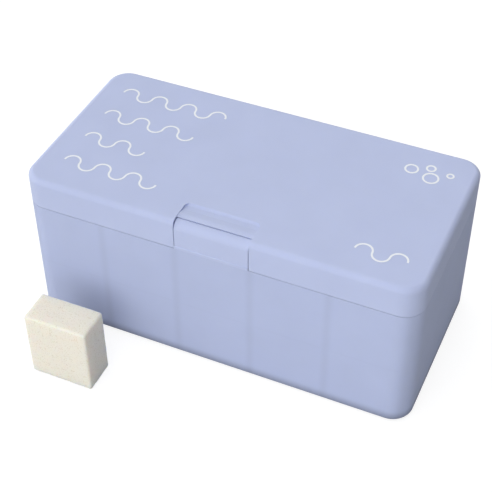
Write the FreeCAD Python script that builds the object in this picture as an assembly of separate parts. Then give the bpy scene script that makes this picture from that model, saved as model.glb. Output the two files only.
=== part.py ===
# A hinged-lid storage case of frosted plastic, packed with sponge blocks, one of which stands in front of it.
# Millimetres, +Z up. X runs along the case, the front faces -Y, and the origin is its underside's middle.
import FreeCAD, Part
import math
import os

V = FreeCAD.Vector

# Sponge blocks, and the stack that the case is made to hold
BLOCK_LENGTH = 40.0
BLOCK_DEPTH = 18.8
BLOCK_HEIGHT = 35.2
BLOCK_EDGE = 1.2
BLOCK_GAP = 0.4
BLOCK_COLUMNS = 5
BLOCK_ROWS = 5
VACANT_COLUMN = 4
VACANT_ROW = 4
STACK_CLEARANCE = 0.5
HEADROOM = 17.4

# Moulded shells
FLOOR = 2.0
WALL = 1.8
LID_TOP = 1.7
LID_WALL = 1.6
LID_SKIRT = 17.4
RIM_WALL = 1.4
RIM_HEIGHT = 9.0
RIM_CLEARANCE = 0.6
LEDGE = 1.4
PARTING_GAP = 0.3
CORNER_RADIUS = 11.3
LID_EDGE = 3.0
LID_INNER_EDGE = 1.4
BASE_EDGE = 2.5
INNER_EDGE = 1.2

# Rear hinge: two stations, each with two knuckles on the base and one on the lid
HINGE_INSET = 40.0
HINGE_OFFSET = 3.6
HINGE_PIN_RADIUS = 1.4
HINGE_FIT = 0.05
KNUCKLE_RADIUS = 3.2
BASE_KNUCKLE = 7.0
LID_KNUCKLE = 12.0
KNUCKLE_GAP = 0.4
KNUCKLE_FOOT = 9.0
KNUCKLE_LEAN = 50.0

# Front latch: a bent flap on a pin, with a shallow pocket and a low ridge of the lid behind it
LATCH_WIDTH = 39.0
LATCH_SLIT = 0.35
LATCH_THICKNESS = 1.6
LATCH_PIVOT_BACK = 4.3
LATCH_BARREL = 2.2
LATCH_BARREL_SINK = 1.1
LATCH_BARREL_GAP = 0.25
LATCH_PIN_RADIUS = 0.9
LATCH_FIT = 0.06
LATCH_LIP = 0.4
LATCH_LIP_HEIGHT = 1.6
HOOK_WIDTH = 28.0
HOOK_HEIGHT = 1.6
HOOK_REACH = 1.6
HOOK_LEVEL = 4.0
WINDOW_SIDE = 1.0
WINDOW_BELOW = 0.8
WINDOW_ABOVE = 1.8
POCKET_DEPTH = 1.0
POCKET_SLOPE = 1.4
POCKET_VALLEY = 3.0
POCKET_LENGTH = 10.9
POCKET_CORNER = 3.0
POCKET_FLOOR = 1.4
RIDGE_WIDTH = 2.4
RIDGE_SINK = 0.2
RIDGE_FALL = 0.3
LIP_LAP = 0.6
EAR_LENGTH = 5.0
EAR_WALL = 1.4

# The block that stands in front of the case, on its short end
LOOSE_X = -67.0
LOOSE_FRONT = 33.0

# Sizes and levels that follow from the above
STACK_LENGTH = BLOCK_COLUMNS * BLOCK_LENGTH + (BLOCK_COLUMNS - 1) * BLOCK_GAP
STACK_DEPTH = BLOCK_ROWS * BLOCK_DEPTH + (BLOCK_ROWS - 1) * BLOCK_GAP
STACK_TOP = FLOOR + 2 * BLOCK_HEIGHT + BLOCK_GAP
RIM_INSET = LID_WALL + RIM_CLEARANCE
MOUTH_INSET = RIM_INSET + RIM_WALL
LENGTH = STACK_LENGTH + 2 * (STACK_CLEARANCE + MOUTH_INSET)
WIDTH = STACK_DEPTH + 2 * (STACK_CLEARANCE + MOUTH_INSET)
HEIGHT = STACK_TOP + HEADROOM + LID_TOP
PARTING = HEIGHT - LID_SKIRT
SKIRT_END = PARTING + PARTING_GAP
FRONT = -WIDTH / 2
BACK = WIDTH / 2
HINGE_Y = BACK + HINGE_OFFSET
PIVOT_Y = FRONT + LATCH_PIVOT_BACK
PIVOT_Z = HEIGHT - LATCH_BARREL_SINK - LATCH_BARREL
NOTCH_WIDTH = LATCH_WIDTH + 2 * LATCH_SLIT
NOTCH_BACK = PIVOT_Y + LIP_LAP
POCKET_BACK = NOTCH_BACK + POCKET_LENGTH
HOOK_TOP = SKIRT_END + HOOK_LEVEL + HOOK_HEIGHT


def outline(inset, level):
    """Closed wire of the case's rounded outline, drawn in by inset, at a level."""
    x = LENGTH / 2 - inset
    y = WIDTH / 2 - inset
    radius = CORNER_RADIUS - inset
    edges = []
    for turn, cx, cy in ((0, 1, 1), (90, -1, 1), (180, -1, -1), (270, 1, -1)):
        centre = V(cx * (x - radius), cy * (y - radius), level)
        points = []
        for angle in (turn, turn + 45, turn + 90):
            bearing = math.radians(angle)
            points.append(centre + V(math.cos(bearing), math.sin(bearing), 0) * radius)
        if edges:
            edges.append(Part.makeLine(edges[-1].Vertexes[-1].Point, points[0]))
        edges.append(Part.Arc(*points).toShape())
    edges.append(Part.makeLine(edges[-1].Vertexes[-1].Point, edges[0].Vertexes[0].Point))
    return Part.Wire(edges)


def prism(inset, low, high):
    """Upright solid on the case's outline, drawn in by inset."""
    return Part.Face(outline(inset, low)).extrude(V(0, 0, high - low))


def round_edges_at(shape, level, radius):
    """Round the edges of a shape that lie flat at one level."""
    flat = [e for e in shape.Edges if abs(e.BoundBox.ZMin - level) + abs(e.BoundBox.ZMax - level) < 1e-6]
    return shape.makeFillet(radius, flat)


def box(x0, x1, y0, y1, z0, z1):
    return Part.makeBox(x1 - x0, y1 - y0, z1 - z0, V(x0, y0, z0))


def rod(radius, x0, x1, y, z):
    """Cylinder along X."""
    return Part.makeCylinder(radius, x1 - x0, V(x0, y, z), V(1, 0, 0))


def side_plate(points, x0, x1):
    """Plate along X from its corners in the YZ plane."""
    corners = [V(x0, y, z) for y, z in points]
    return Part.Face(Part.makePolygon(corners + corners[:1])).extrude(V(x1 - x0, 0, 0))


def rounded_block(x0, y0, z0, length, depth, height):
    block = Part.makeBox(length, depth, height, V(x0, y0, z0))
    return block.makeFillet(BLOCK_EDGE, block.Edges)


def hinge_station(side):
    """Spans along X of one station's knuckles: base, lid, base."""
    middle = side * (LENGTH / 2 - HINGE_INSET)
    inner = LID_KNUCKLE / 2
    outer = inner + KNUCKLE_GAP
    return (
        (middle - outer - BASE_KNUCKLE, middle - outer),
        (middle - inner, middle + inner),
        (middle + outer, middle + outer + BASE_KNUCKLE),
    )


def knuckle(span, rise):
    """Hinge eye with its foot on the back wall, above the parting line (rise 1) or below it (rise -1)."""
    root = BACK - WALL / 2
    lean = math.radians(KNUCKLE_LEAN)
    tip = (HINGE_Y + KNUCKLE_RADIUS * math.cos(lean), PARTING + rise * KNUCKLE_RADIUS * math.sin(lean))
    start = PARTING + rise * 2 * PARTING_GAP
    foot = [(root, start), (root, PARTING + rise * KNUCKLE_FOOT), tip, (HINGE_Y, start)]
    eye = rod(KNUCKLE_RADIUS, span[0], span[1], HINGE_Y, PARTING)
    return eye.fuse(side_plate(foot, *span))


def hinge_bore(span, fit):
    return rod(HINGE_PIN_RADIUS + fit, span[0], span[1], HINGE_Y, PARTING)


def base_box():
    shell = round_edges_at(prism(0, 0, PARTING), 0, BASE_EDGE)
    shell = shell.fuse(prism(RIM_INSET, PARTING - LEDGE, PARTING + RIM_HEIGHT))
    room = round_edges_at(prism(WALL, FLOOR, PARTING - LEDGE), FLOOR, INNER_EDGE)
    mouth = prism(MOUTH_INSET, PARTING - 2 * LEDGE, PARTING + 2 * RIM_HEIGHT)
    shell = shell.cut(room).cut(mouth)
    window_half = HOOK_WIDTH / 2 + WINDOW_SIDE
    window_low = HOOK_TOP - HOOK_HEIGHT - WINDOW_BELOW
    window_back = FRONT + 2 * MOUTH_INSET
    window = box(-window_half, window_half, FRONT, window_back, window_low, HOOK_TOP + WINDOW_ABOVE)
    shell = shell.cut(window)
    for side in (-1, 1):
        left, middle, right = hinge_station(side)
        for span in (left, right):
            shell = shell.fuse(knuckle(span, -1)).cut(hinge_bore(span, HINGE_FIT))
    return shell


def lid():
    shell = round_edges_at(prism(0, SKIRT_END, HEIGHT), HEIGHT, LID_EDGE)
    underside = HEIGHT - LID_TOP
    inside = round_edges_at(prism(LID_WALL, SKIRT_END - LID_TOP, underside), underside, LID_INNER_EDGE)
    shell = shell.cut(inside)
    half = NOTCH_WIDTH / 2
    # Tray under the pocket, and the two ears that hold the latch pin
    root = HEIGHT - LID_TOP / 2
    tray_low = HEIGHT - POCKET_DEPTH - POCKET_FLOOR
    tray_half = half + POCKET_FLOOR
    shell = shell.fuse(box(-tray_half, tray_half, NOTCH_BACK, POCKET_BACK + POCKET_FLOOR, tray_low, root))
    ear_reach = LATCH_PIN_RADIUS + LATCH_FIT + EAR_WALL
    for side in (-1, 1):
        near, far = sorted((side * half, side * (half + EAR_LENGTH)))
        ear = box(near, far, FRONT + LID_WALL / 2, PIVOT_Y + ear_reach, PIVOT_Z - ear_reach, root)
        shell = shell.fuse(ear)
    # Notch that the latch hangs in, room for its barrel, and the pocket behind: a ramp, a valley and a ridge
    notch = box(-half, half, 2 * FRONT, NOTCH_BACK, PARTING - LID_TOP, HEIGHT + LID_TOP)
    barrel_room = rod(LATCH_BARREL + LATCH_BARREL_GAP, -half, half, PIVOT_Y, PIVOT_Z)
    valley = HEIGHT - POCKET_DEPTH
    valley_back = POCKET_BACK - POCKET_SLOPE
    dip = side_plate([
        (POCKET_BACK, HEIGHT),
        (valley_back, valley),
        (valley_back - POCKET_VALLEY, valley),
        (NOTCH_BACK + RIDGE_WIDTH, HEIGHT - RIDGE_SINK),
        (NOTCH_BACK, HEIGHT - RIDGE_SINK - RIDGE_FALL),
        (NOTCH_BACK, HEIGHT + LID_TOP),
        (POCKET_BACK, HEIGHT + LID_TOP),
    ], -half, half)
    limit = box(-half, half, FRONT, POCKET_BACK, PARTING, HEIGHT + LID_TOP)
    rear = [e for e in limit.Edges if e.BoundBox.YMin > POCKET_BACK - 1e-6 and e.BoundBox.ZLength > LID_TOP]
    pocket = dip.common(limit.makeFillet(POCKET_CORNER, rear))
    shell = shell.cut(notch).cut(barrel_room).cut(pocket)
    pin_half = half + EAR_LENGTH - EAR_WALL
    shell = shell.cut(rod(LATCH_PIN_RADIUS + LATCH_FIT, -pin_half, pin_half, PIVOT_Y, PIVOT_Z))
    for side in (-1, 1):
        span = hinge_station(side)[1]
        shell = shell.fuse(knuckle(span, 1)).cut(hinge_bore(span, HINGE_FIT))
    return shell


def latch_flap():
    """Barrel on the pin, a plate that bends down over the front, a hook behind it and a lip to lift it by."""
    top = HEIGHT - LATCH_BARREL_SINK
    bend = V(0, PIVOT_Y, top - LATCH_PIVOT_BACK)
    slope = math.sqrt(0.5)

    def quarter(radius):
        ends = (V(0, 0, radius), V(0, -slope * radius, slope * radius), V(0, -radius, 0))
        return [bend + point for point in ends]

    outer = quarter(LATCH_PIVOT_BACK)
    inner = quarter(LATCH_PIVOT_BACK - LATCH_THICKNESS)
    front_low = V(0, FRONT, SKIRT_END)
    inside_low = V(0, FRONT + LATCH_THICKNESS, SKIRT_END)
    lip_start = V(0, FRONT, SKIRT_END + LATCH_LIP_HEIGHT)
    lip_crest = V(0, FRONT - LATCH_LIP, SKIRT_END + LATCH_LIP_HEIGHT - LATCH_LIP)
    lip_low = V(0, FRONT - LATCH_LIP, SKIRT_END)
    profile = Part.Wire([
        Part.Arc(*outer).toShape(),
        Part.makeLine(outer[2], lip_start),
        Part.makeLine(lip_start, lip_crest),
        Part.makeLine(lip_crest, lip_low),
        Part.makeLine(lip_low, front_low),
        Part.makeLine(front_low, inside_low),
        Part.makeLine(inside_low, inner[2]),
        Part.Arc(*reversed(inner)).toShape(),
        Part.makeLine(inner[0], outer[0]),
    ])
    flap = Part.Face(profile).extrude(V(LATCH_WIDTH, 0, 0)).translated(V(-LATCH_WIDTH / 2, 0, 0))
    half = LATCH_WIDTH / 2
    flap = flap.fuse(rod(LATCH_BARREL, -half, half, PIVOT_Y, PIVOT_Z))
    hook_root = FRONT + LATCH_THICKNESS / 2
    hook_tip = FRONT + LATCH_THICKNESS + HOOK_REACH
    hook = box(-HOOK_WIDTH / 2, HOOK_WIDTH / 2, hook_root, hook_tip, HOOK_TOP - HOOK_HEIGHT, HOOK_TOP)
    flap = flap.fuse(hook)
    return flap.cut(rod(LATCH_PIN_RADIUS + LATCH_FIT, -LATCH_WIDTH, LATCH_WIDTH, PIVOT_Y, PIVOT_Z))


def latch_pin():
    half = NOTCH_WIDTH / 2 + EAR_LENGTH - EAR_WALL - LATCH_FIT
    return rod(LATCH_PIN_RADIUS, -half, half, PIVOT_Y, PIVOT_Z)


def hinge_pin(side):
    left, middle, right = hinge_station(side)
    return rod(HINGE_PIN_RADIUS, left[0], right[1], HINGE_Y, PARTING)


def packed_block(column, row, layer):
    """One block of the stack, cut back in the corners where the case's wall turns."""
    x = -STACK_LENGTH / 2 + (column - 1) * (BLOCK_LENGTH + BLOCK_GAP)
    y = -STACK_DEPTH / 2 + (row - 1) * (BLOCK_DEPTH + BLOCK_GAP)
    z = FLOOR + layer * (BLOCK_HEIGHT + BLOCK_GAP)
    block = rounded_block(x, y, z, BLOCK_LENGTH, BLOCK_DEPTH, BLOCK_HEIGHT)
    if column in (1, BLOCK_COLUMNS) and row in (1, BLOCK_ROWS):
        block = block.common(prism(WALL + INNER_EDGE, 0, HEIGHT))
    return block


def loose_block():
    """The block taken out of the vacant place, standing on its short end."""
    x = LOOSE_X - BLOCK_HEIGHT / 2
    y = FRONT - LOOSE_FRONT - BLOCK_DEPTH / 2
    return rounded_block(x, y, 0, BLOCK_HEIGHT, BLOCK_DEPTH, BLOCK_LENGTH)


parts = {
    "base_box": base_box(),
    "lid": lid(),
    "latch_flap": latch_flap(),
    "latch_pin": latch_pin(),
    "hinge_pin_left": hinge_pin(-1),
    "hinge_pin_right": hinge_pin(1),
    "sponge_loose": loose_block(),
}
for layer, layer_name in enumerate(("lower", "upper")):
    for row in range(1, BLOCK_ROWS + 1):
        for column in range(1, BLOCK_COLUMNS + 1):
            if layer == 1 and (column, row) == (VACANT_COLUMN, VACANT_ROW):
                continue
            parts[f"sponge_{layer_name}_r{row}_c{column}"] = packed_block(column, row, layer)

os.makedirs("parts", exist_ok=True)
for name, shape in parts.items():
    shape = shape.removeSplitter()
    if not name.startswith("sponge_") or name == "sponge_loose":
        print(name, shape.isValid(), len(shape.Solids), round(shape.Volume / 1000, 2), "cm3", shape.BoundBox)
    shape.exportStep(f"parts/{name}.step")
print(len(parts), "parts; case", [round(size, 2) for size in (LENGTH, WIDTH, HEIGHT, PARTING)])
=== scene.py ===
import bmesh
import bpy
import math
from mathutils import Matrix, Vector, noise


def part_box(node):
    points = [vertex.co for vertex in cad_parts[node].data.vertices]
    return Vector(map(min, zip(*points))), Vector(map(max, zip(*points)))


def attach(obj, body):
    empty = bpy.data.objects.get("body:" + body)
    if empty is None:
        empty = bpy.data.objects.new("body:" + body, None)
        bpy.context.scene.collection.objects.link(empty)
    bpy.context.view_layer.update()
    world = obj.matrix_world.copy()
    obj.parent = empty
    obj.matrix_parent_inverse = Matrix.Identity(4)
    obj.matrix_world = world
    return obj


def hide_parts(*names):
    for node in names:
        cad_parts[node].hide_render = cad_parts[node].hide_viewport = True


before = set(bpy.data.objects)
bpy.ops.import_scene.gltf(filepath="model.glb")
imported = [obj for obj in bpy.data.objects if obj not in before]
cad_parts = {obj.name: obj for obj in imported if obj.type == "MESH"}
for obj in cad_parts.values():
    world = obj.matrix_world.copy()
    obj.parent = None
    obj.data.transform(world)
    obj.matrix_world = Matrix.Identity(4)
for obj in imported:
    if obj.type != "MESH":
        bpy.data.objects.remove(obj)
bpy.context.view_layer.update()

# Base box: one deep shell of polypropylene, moulded with an etched, frosted skin that lets some light
# through. The blocks inside show through its front wall as pale squares; their darker joints are painted
# shade on the wall, and painted shade also darkens the wall's lowest band.
MM = 0.001
CASE_COLOUR = (0.51, 0.572, 0.80)
CLEARNESS = 0.05
SATIN = 0.62
PLASTIC_IOR = 1.3
SKIN_GLOSS = 0.01
GLOW_SHARE = 0.35
GLOW_SPREAD = (1.0, 0.95, 0.85)
GLOW_DEPTH = 1.5 * MM
MOTTLE_SCALE = 45.0
MOTTLE_DETAIL = 3.0
MOTTLE_SHADE = 0.97
MOTTLE_LOW = 0.3
MOTTLE_HIGH = 0.7
ETCH_SCALE = 2600.0
ETCH_STRENGTH = 0.12
ETCH_DEPTH = 0.05 * MM
PLAIN_DETAIL = 2.0
# Painted shade: the wall's colour darkens where the joints between the blocks lie behind it.
JOINT_SHADE = 0.05
JOINT_BLUR = 3.6 * MM
LAYER_FADE = 2.2 * MM
# Painted shade: the wall's colour darkens towards the bottom, over its lowest band.
FOOT_SHADE_HEIGHT = 8.0 * MM
FOOT_SHADE_AMOUNT = 0.5
first_low, first_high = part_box("sponge_lower_r1_c1")
block_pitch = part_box("sponge_lower_r1_c2")[0].x - first_low.x
layer_joint = (first_high.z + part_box("sponge_upper_r1_c1")[0].z) / 2


def start_finish(name):
    """A new material, with its nodes, links and shader, and the piece's own coordinates."""
    material = bpy.data.materials.new(name)
    material.use_nodes = True
    nodes = material.node_tree.nodes
    spot = nodes.new("ShaderNodeTexCoord").outputs["Object"]
    return material, nodes, material.node_tree.links, nodes["Principled BSDF"], spot


def cloudy(nodes, links, spot, scale, detail):
    """A noise pattern, as its strength."""
    pattern = nodes.new("ShaderNodeTexNoise")
    pattern.inputs["Scale"].default_value = scale
    pattern.inputs["Detail"].default_value = detail
    links.new(spot, pattern.inputs["Vector"])
    return pattern.outputs["Fac"]


def tint_by(nodes, links, shader, pattern, low, high):
    """Colour a finish by a pattern, between two stops of a strength and a colour."""
    tint = nodes.new("ShaderNodeValToRGB")
    for stop, (strength, colour) in zip(tint.color_ramp.elements, (low, high)):
        stop.position = strength
        stop.color = (*colour, 1)
    links.new(pattern, tint.inputs["Fac"])
    links.new(tint.outputs["Color"], shader.inputs["Base Color"])


def emboss(nodes, links, shader, pattern, strength, depth):
    """Raise and sink a finish's surface by a pattern."""
    bump = nodes.new("ShaderNodeBump")
    bump.inputs["Strength"].default_value = strength
    bump.inputs["Distance"].default_value = depth
    links.new(pattern, bump.inputs["Height"])
    links.new(bump.outputs["Normal"], shader.inputs["Normal"])


def compute(nodes, links, operation, *terms):
    """One step of arithmetic between node outputs and plain numbers."""
    step = nodes.new("ShaderNodeMath")
    step.operation = operation
    for slot, term in zip(step.inputs, terms):
        if isinstance(term, float):
            slot.default_value = term
        else:
            links.new(term, slot)
    return step.outputs["Value"]


def soft_rise(nodes, links, distance, reach, start):
    """A smooth climb from a start value to 1 over a distance."""
    rise = nodes.new("ShaderNodeMapRange")
    rise.interpolation_type = "SMOOTHSTEP"
    rise.inputs["From Max"].default_value = reach
    rise.inputs["To Min"].default_value = start
    links.new(distance, rise.inputs["Value"])
    return rise.outputs["Result"]


def frosted_plastic(name, colour):
    """Satin translucent plastic: faint mottling in the colour and a fine etched grain on the surface."""
    material, nodes, links, shader, spot = start_finish(name)
    mottle = cloudy(nodes, links, spot, MOTTLE_SCALE, MOTTLE_DETAIL)
    darker = tuple(MOTTLE_SHADE * c for c in colour)
    tint_by(nodes, links, shader, mottle, (MOTTLE_LOW, darker), (MOTTLE_HIGH, colour))
    grain = cloudy(nodes, links, spot, ETCH_SCALE, PLAIN_DETAIL)
    emboss(nodes, links, shader, grain, ETCH_STRENGTH, ETCH_DEPTH)
    shader.inputs["Roughness"].default_value = SATIN
    shader.inputs["IOR"].default_value = PLASTIC_IOR
    shader.inputs["Specular IOR Level"].default_value = SKIN_GLOSS
    shader.inputs["Transmission Weight"].default_value = CLEARNESS
    shader.inputs["Subsurface Weight"].default_value = GLOW_SHARE
    shader.inputs["Subsurface Radius"].default_value = GLOW_SPREAD
    shader.inputs["Subsurface Scale"].default_value = GLOW_DEPTH
    return material


def paint_joint_and_foot_shade(material):
    """Darken a wall softly with painted shade, where the blocks' joints lie behind it and over its lowest
    band.
    """
    nodes = material.node_tree.nodes
    links = material.node_tree.links
    shader = nodes["Principled BSDF"]
    plain = shader.inputs["Base Color"].links[0].from_socket
    axes = nodes.new("ShaderNodeSeparateXYZ")
    links.new(nodes.new("ShaderNodeTexCoord").outputs["Object"], axes.inputs["Vector"])
    along = compute(nodes, links, "ADD", axes.outputs["X"], block_pitch / 2)
    upright = compute(nodes, links, "PINGPONG", along, block_pitch / 2)
    above = compute(nodes, links, "SUBTRACT", axes.outputs["Z"], layer_joint)
    level = compute(nodes, links, "ADD", compute(nodes, links, "ABSOLUTE", above), LAYER_FADE)
    nearest = compute(nodes, links, "MINIMUM", level, upright)
    # Painted shade of the blocks' joints.
    joint = soft_rise(nodes, links, nearest, JOINT_BLUR, 1 - JOINT_SHADE)
    # Painted shade over the wall's lowest band.
    foot_shade = soft_rise(nodes, links, axes.outputs["Z"], FOOT_SHADE_HEIGHT, 1 - FOOT_SHADE_AMOUNT)
    shaded = nodes.new("ShaderNodeVectorMath")
    shaded.operation = "SCALE"
    links.new(plain, shaded.inputs[0])
    links.new(compute(nodes, links, "MULTIPLY", joint, foot_shade), shaded.inputs["Scale"])
    links.new(shaded.outputs["Vector"], shader.inputs["Base Color"])


def finish_node(node, material):
    """Give a CAD node's object one material."""
    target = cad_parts[node]
    target.data.materials.clear()
    target.data.materials.append(material)


case_plastic = frosted_plastic("case_plastic", CASE_COLOUR)
# Painted shade of the blocks' joints and of the wall's lowest band, on the case's colour.
paint_joint_and_foot_shade(case_plastic)
finish_node("base_box", case_plastic)

# Hinge pins: two short lengths of drawn steel wire, pushed through the knuckles at the back.
# Drawing leaves fine scratches along the wire.
STEEL = (0.62, 0.62, 0.64)
SCRATCH_STRETCH = (60.0, 4000.0, 4000.0)
STEEL_SMOOTH = 0.22
STEEL_DULL = 0.45


def drawn_wire(name):
    """Bright steel whose roughness wanders in lines along the wire."""
    material, nodes, links, shader, spot = start_finish(name)
    stretch = nodes.new("ShaderNodeMapping")
    stretch.inputs["Scale"].default_value = SCRATCH_STRETCH
    links.new(spot, stretch.inputs["Vector"])
    shade = nodes.new("ShaderNodeMapRange")
    shade.inputs["To Min"].default_value = STEEL_SMOOTH
    shade.inputs["To Max"].default_value = STEEL_DULL
    links.new(cloudy(nodes, links, stretch.outputs["Vector"], 1.0, PLAIN_DETAIL), shade.inputs["Value"])
    links.new(shade.outputs["Result"], shader.inputs["Roughness"])
    shader.inputs["Base Color"].default_value = (*STEEL, 1)
    shader.inputs["Metallic"].default_value = 1.0
    return material


pin_steel = drawn_wire("pin_steel")
finish_node("hinge_pin_left", pin_steel)
finish_node("hinge_pin_right", pin_steel)

# Sponge blocks: cut from a slab of cream foam with a fine, even cell, in two layers on the case's floor.
# The knife leaves flat faces with slightly soft edges, and cut cells show as small pits, darkened with
# painted shade.
FOAM_COLOUR = (0.87, 0.83, 0.73)
FOAM_PIT_SHADE_COLOUR = (0.66, 0.58, 0.44)
FOAM_DULL = 0.95
FOAM_GLOSS = 0.02
FOAM_GLOW_SHARE = 0.6
FOAM_GLOW_SPREAD = (1.0, 0.72, 0.45)
FOAM_GLOW_DEPTH = 8.0 * MM
CELL_SIZE = 0.8 * MM
CELL_DRIFT_SCALE = 420.0
CELL_DRIFT_DETAIL = 4.0
PIT_FLOOR = 0.02
PIT_RIM = 0.16
PIT_STRENGTH = 0.5
PIT_DEPTH = 0.3 * MM
FOAM_EDGE = 1.3 * MM
FOAM_EDGE_STEPS = 3
LONG_EDGE = 4 * FOAM_EDGE
CORNER_PRESS = 4.2 * MM
CORNER_STEPS = 6
SHARP_ANGLE = math.radians(40)
BROAD_WANDER = 260
FINE_WANDER = 900
FINE_SHARE = 0.6
PACKED_CUTS = 7
PACKED_RIPPLE = 0.25 * MM


def foam(name):
    """Matt, slightly translucent foam whose cut cells are pits, darkened with painted shade."""
    material, nodes, links, shader, spot = start_finish(name)
    cells = nodes.new("ShaderNodeTexVoronoi")
    cells.inputs["Scale"].default_value = 1 / CELL_SIZE
    links.new(spot, cells.inputs["Vector"])
    drift = cloudy(nodes, links, spot, CELL_DRIFT_SCALE, CELL_DRIFT_DETAIL)
    depth = compute(nodes, links, "MULTIPLY", cells.outputs["Distance"], drift)
    # Painted shade: the foam's colour darkens with the depth of the pits.
    tint_by(nodes, links, shader, depth, (PIT_FLOOR, FOAM_PIT_SHADE_COLOUR), (PIT_RIM, FOAM_COLOUR))
    emboss(nodes, links, shader, depth, PIT_STRENGTH, PIT_DEPTH)
    shader.inputs["Roughness"].default_value = FOAM_DULL
    shader.inputs["Specular IOR Level"].default_value = FOAM_GLOSS
    shader.inputs["Subsurface Weight"].default_value = FOAM_GLOW_SHARE
    shader.inputs["Subsurface Radius"].default_value = FOAM_GLOW_SPREAD
    shader.inputs["Subsurface Scale"].default_value = FOAM_GLOW_DEPTH
    return material


def make_piece(name, bm, material):
    """Turn a finished bmesh into an object with one material."""
    mesh = bpy.data.meshes.new(name)
    bm.to_mesh(mesh)
    bm.free()
    mesh.materials.append(material)
    piece = bpy.data.objects.new(name, mesh)
    bpy.context.scene.collection.objects.link(piece)
    return piece


def soften(bm, edges, width, steps):
    bmesh.ops.bevel(bm, geom=edges, offset=width, offset_type="OFFSET", segments=steps, profile=0.5,
                    affect="EDGES", material=-1)


def sponge_block(node, cuts, ripple, corner=None):
    """A cut block in a CAD node's place. Corner, as signs of x and y, is an upright edge pressed round."""
    low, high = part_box(node)
    middle = (low + high) / 2
    bm = bmesh.new()
    bmesh.ops.create_cube(bm, size=1.0)
    bmesh.ops.scale(bm, vec=high - low, verts=bm.verts)
    bmesh.ops.translate(bm, vec=middle, verts=bm.verts)
    if corner:
        pressed = []
        for edge in bm.edges:
            ends = [v.co - middle for v in edge.verts]
            if all(e.x * corner[0] > 0 and e.y * corner[1] > 0 for e in ends):
                pressed.append(edge)
        soften(bm, pressed, CORNER_PRESS, CORNER_STEPS)
    sharp = [e for e in bm.edges if e.calc_face_angle() > SHARP_ANGLE]
    soften(bm, sharp, FOAM_EDGE, FOAM_EDGE_STEPS)
    long_edges = [e for e in bm.edges if e.calc_length() > LONG_EDGE]
    bmesh.ops.subdivide_edges(bm, edges=long_edges, cuts=cuts, use_grid_fill=True)
    bm.normal_update()
    for vert in bm.verts:
        wander = noise.noise(vert.co * BROAD_WANDER) + FINE_SHARE * noise.noise(vert.co * FINE_WANDER)
        vert.co -= vert.normal * ripple * (1 + wander) / 2
    block = make_piece("block_" + node, bm, sponge_foam)
    block.data.shade_smooth()
    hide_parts(node)
    return block


sponge_foam = foam("sponge_foam")
packed = [n for n in sorted(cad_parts) if n.startswith(("sponge_lower", "sponge_upper"))]
rows = max(int(n.split("_r")[1][0]) for n in packed)
columns = max(int(n.split("_c")[1]) for n in packed)
for node in packed:
    row = int(node.split("_r")[1][0])
    column = int(node.split("_c")[1])
    at_corner = row in (1, rows) and column in (1, columns)
    corner = (-1 if column == 1 else 1, -1 if row == 1 else 1) if at_corner else None
    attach(sponge_block(node, PACKED_CUTS, PACKED_RIPPLE, corner), "case")

# Lid: a shallower shell of the same frosted plastic, with a soft edge round its top. Its skirt laps the
# base's rim, so that band is two walls thick.
LID_COLOUR = (0.545, 0.607, 0.84)
lid_plastic = frosted_plastic("lid_plastic", LID_COLOUR)
finish_node("lid", lid_plastic)
lid_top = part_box("lid")[1].z

# Printed ornament: white ink laid on the lid's top in plain scalloped waves and bubbles.
# It dries to a thin raised film. A wave has a start and a number of arches, a bubble a middle and a radius.
INK_COLOUR = (0.88, 0.91, 0.97)
INK_SHADE = 0.93
INK_SATIN = 0.5
SPECKLE_SCALE = 1500.0
SPECKLE_LOW = 0.25
SPECKLE_HIGH = 0.6
INK_LIFT = 0.01 * MM
INK_FILM = 0.05 * MM
INK_MERGE = 0.001 * MM
STROKE = 1.0 * MM
WAVE_RADIUS = 4.3 * MM
ARCH_STEPS = 14
WAVES = ((-91, 32, 7), (-91, 11, 6), (-91, -10, 4), (-91, -31, 6), (66, -34, 3))
BUBBLES = ((72, 32, 3.2), (81, 36, 2.2), (83, 28.5, 3.8), (91.5, 34, 1.6))


def ink(name):
    """Opaque white ink with a faint speckle."""
    material, nodes, links, shader, spot = start_finish(name)
    speckle = cloudy(nodes, links, spot, SPECKLE_SCALE, PLAIN_DETAIL)
    thin = tuple(INK_SHADE * c for c in INK_COLOUR)
    tint_by(nodes, links, shader, speckle, (SPECKLE_LOW, thin), (SPECKLE_HIGH, INK_COLOUR))
    shader.inputs["Roughness"].default_value = INK_SATIN
    return material


def ink_film(name, bm):
    """Thicken flat ink faces into a film on the lid's top and let it ride on the lid."""
    bmesh.ops.remove_doubles(bm, verts=bm.verts, dist=INK_MERGE)
    bmesh.ops.recalc_face_normals(bm, faces=bm.faces)
    raised = bmesh.ops.extrude_face_region(bm, geom=bm.faces[:])
    tops = [g for g in raised["geom"] if isinstance(g, bmesh.types.BMVert)]
    bmesh.ops.translate(bm, vec=(0, 0, INK_FILM), verts=tops)
    bmesh.ops.recalc_face_normals(bm, faces=bm.faces)
    film = make_piece(name, bm, white_ink)
    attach(film, "lid")


def stroke_across(bm, x, y):
    """The short line, as wide as a stroke, that is swept along it."""
    ends = [bm.verts.new((x + side * STROKE / 2, y, ink_level)) for side in (-1, 1)]
    return [bm.edges.new(ends), *ends]


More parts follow.
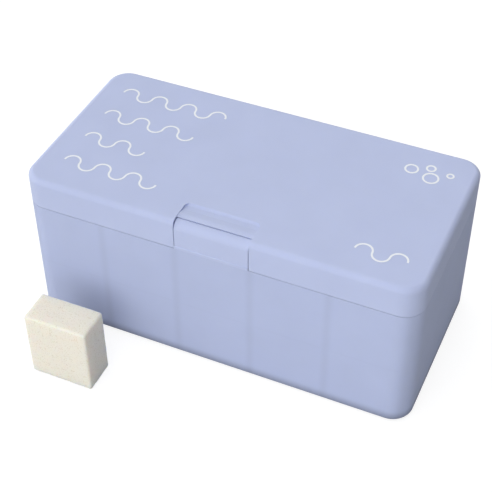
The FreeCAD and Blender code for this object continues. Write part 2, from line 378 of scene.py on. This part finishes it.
white_ink = ink("white_ink")
ink_level = lid_top + INK_LIFT
bm = bmesh.new()
for x_mm, y_mm, arches in WAVES:
    x = x_mm * MM
    y = y_mm * MM
    line = stroke_across(bm, x, y)
    for arch in range(arches):
        centre = (x + WAVE_RADIUS * (2 * arch + 1), y, ink_level)
        turn = math.pi if arch % 2 else -math.pi
        swept = bmesh.ops.spin(bm, geom=line, cent=centre, axis=(0, 0, 1), angle=turn, steps=ARCH_STEPS)
        line = swept["geom_last"]
ink_film("lid_print_waves", bm)
bm = bmesh.new()
for x_mm, y_mm, radius_mm in BUBBLES:
    centre = (x_mm * MM, y_mm * MM, ink_level)
    line = stroke_across(bm, (x_mm + radius_mm) * MM, y_mm * MM)
    bmesh.ops.spin(bm, geom=line, cent=centre, axis=(0, 0, 1), angle=2 * math.pi, steps=3 * ARCH_STEPS,
                   use_merge=True)
ink_film("lid_print_bubbles", bm)

# Latch: a snap flap moulded from the lid's plastic, turning on a wire pin in two ears under the lid.
# It is bent over the lid's front edge, with a lip below to lift it by.
finish_node("latch_pin", pin_steel)
finish_node("latch_flap", lid_plastic)

# Loose block: one of the blocks, taken out and stood on its short end in front of the case.
# It shows its cut faces closest, so it carries the most surface detail.
LOOSE_CUTS = 24
LOOSE_RIPPLE = 0.3 * MM
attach(sponge_block("sponge_loose", LOOSE_CUTS, LOOSE_RIPPLE), "loose_block")

# Floor: a plain pale studio sweep under the case. To the camera, in reflections and through the plastic
# it is lifted to white, and it keeps the soft shadow.
FLOOR_DROP = 0.2 * MM
FLOOR_REACH = 6.0
FLOOR_BOUNCE = 0.6
FLOOR_SEEN = 0.32
FLOOR_GLOW = 0.8


def seen_directly(nodes, links):
    """1 for rays from the camera, off a gloss or through the plastic, and 0 for the rest."""
    rays = nodes.new("ShaderNodeLightPath").outputs
    mirrored = compute(nodes, links, "MAXIMUM", rays["Is Camera Ray"], rays["Is Glossy Ray"])
    return compute(nodes, links, "MAXIMUM", mirrored, rays["Is Transmission Ray"])


def matt_grey(nodes, level):
    grey = nodes.new("ShaderNodeBsdfDiffuse")
    grey.inputs["Color"].default_value = (level, level, level, 1)
    return grey.outputs["BSDF"]


sweep = bpy.data.materials.new("pale_sweep")
sweep.use_nodes = True
nodes = sweep.node_tree.nodes
links = sweep.node_tree.links
nodes.clear()
glow = nodes.new("ShaderNodeEmission")
glow.inputs["Strength"].default_value = FLOOR_GLOW
lifted = nodes.new("ShaderNodeAddShader")
links.new(matt_grey(nodes, FLOOR_SEEN), lifted.inputs[0])
links.new(glow.outputs["Emission"], lifted.inputs[1])
pick = nodes.new("ShaderNodeMixShader")
links.new(seen_directly(nodes, links), pick.inputs["Fac"])
links.new(matt_grey(nodes, FLOOR_BOUNCE), pick.inputs[1])
links.new(lifted.outputs["Shader"], pick.inputs[2])
surface = nodes.new("ShaderNodeOutputMaterial")
links.new(pick.outputs["Shader"], surface.inputs["Surface"])
bm = bmesh.new()
bmesh.ops.create_grid(bm, x_segments=1, y_segments=1, size=FLOOR_REACH)
bmesh.ops.translate(bm, vec=(0, 0, -FLOOR_DROP), verts=bm.verts)
floor = make_piece("floor", bm, sweep)

# Light: an even pale room that is dark on the right-hand side only, and one soft panel in front.
# The room is white to the camera, in reflections and through the plastic.
PANEL_PLACE = Vector((0.12, -0.95, 0.5))
PANEL_AIM = Vector((0, 0, 0.05))
PANEL_SIZE = 1.1
PANEL_POWER = 3.5
DARK_SIDE = (1.0, 0.0, 0.0)
DARK_FROM = 0.12
DARK_FULL = 0.72
ROOM_LIGHT = 1.09
ROOM_DARK = 0.02
ROOM_SEEN = 1.0
lamp = bpy.data.lights.new("key_panel", "AREA")
lamp.shape = "DISK"
lamp.size = PANEL_SIZE
lamp.energy = PANEL_POWER
panel = bpy.data.objects.new("key_panel", lamp)
panel.location = PANEL_PLACE
panel.rotation_euler = (PANEL_AIM - PANEL_PLACE).to_track_quat("-Z", "Y").to_euler()
bpy.context.scene.collection.objects.link(panel)
world = bpy.data.worlds.new("room")
bpy.context.scene.world = world
world.use_nodes = True
nodes = world.node_tree.nodes
links = world.node_tree.links
room = nodes["Background"]
room.inputs["Color"].default_value = (1, 1, 1, 1)
toward = nodes.new("ShaderNodeVectorMath")
toward.operation = "DOT_PRODUCT"
toward.inputs[1].default_value = DARK_SIDE
links.new(nodes.new("ShaderNodeTexCoord").outputs["Generated"], toward.inputs[0])
dusk = nodes.new("ShaderNodeMapRange")
dusk.interpolation_type = "SMOOTHSTEP"
dusk.inputs["From Min"].default_value = DARK_FROM
dusk.inputs["From Max"].default_value = DARK_FULL
dusk.inputs["To Min"].default_value = ROOM_LIGHT
dusk.inputs["To Max"].default_value = ROOM_DARK
links.new(toward.outputs["Value"], dusk.inputs["Value"])
level = nodes.new("ShaderNodeMix")
level.inputs["B"].default_value = ROOM_SEEN
links.new(seen_directly(nodes, links), level.inputs["Factor"])
links.new(dusk.outputs["Result"], level.inputs["A"])
links.new(level.outputs["Result"], room.inputs["Strength"])

# Camera: high in front of the case and to its right, aimed at the lid's front edge near the latch.
# It stands well back with a long lens, so the case's upright edges stay nearly parallel.
AZIMUTH = math.radians(24.191)
ELEVATION = math.radians(42.76)
ROLL = math.radians(-0.311)
DISTANCE = 660.8 * MM
SLIDE_RIGHT = -4.46 * MM
SLIDE_UP = 29.03 * MM
LENS_MM = 87.49
SENSOR_MM = 36.0
CLIP_START = 0.01
back = Vector((
    math.sin(AZIMUTH) * math.cos(ELEVATION),
    -math.cos(AZIMUTH) * math.cos(ELEVATION),
    math.sin(ELEVATION),
))
level_right = Vector((0, 0, 1)).cross(back).normalized()
level_up = back.cross(level_right)
right = math.cos(ROLL) * level_right + math.sin(ROLL) * level_up
up = math.cos(ROLL) * level_up - math.sin(ROLL) * level_right
view = bpy.data.cameras.new("photo_view")
view.lens = LENS_MM
view.sensor_width = SENSOR_MM
view.clip_start = CLIP_START
camera = bpy.data.objects.new("photo_view", view)
turned = Matrix((right, up, back)).transposed().to_4x4()
camera.matrix_world = Matrix.Translation(back * DISTANCE + right * SLIDE_RIGHT + up * SLIDE_UP) @ turned
bpy.context.scene.collection.objects.link(camera)
bpy.context.scene.camera = camera
bpy.context.scene.view_settings.view_transform = "Standard"
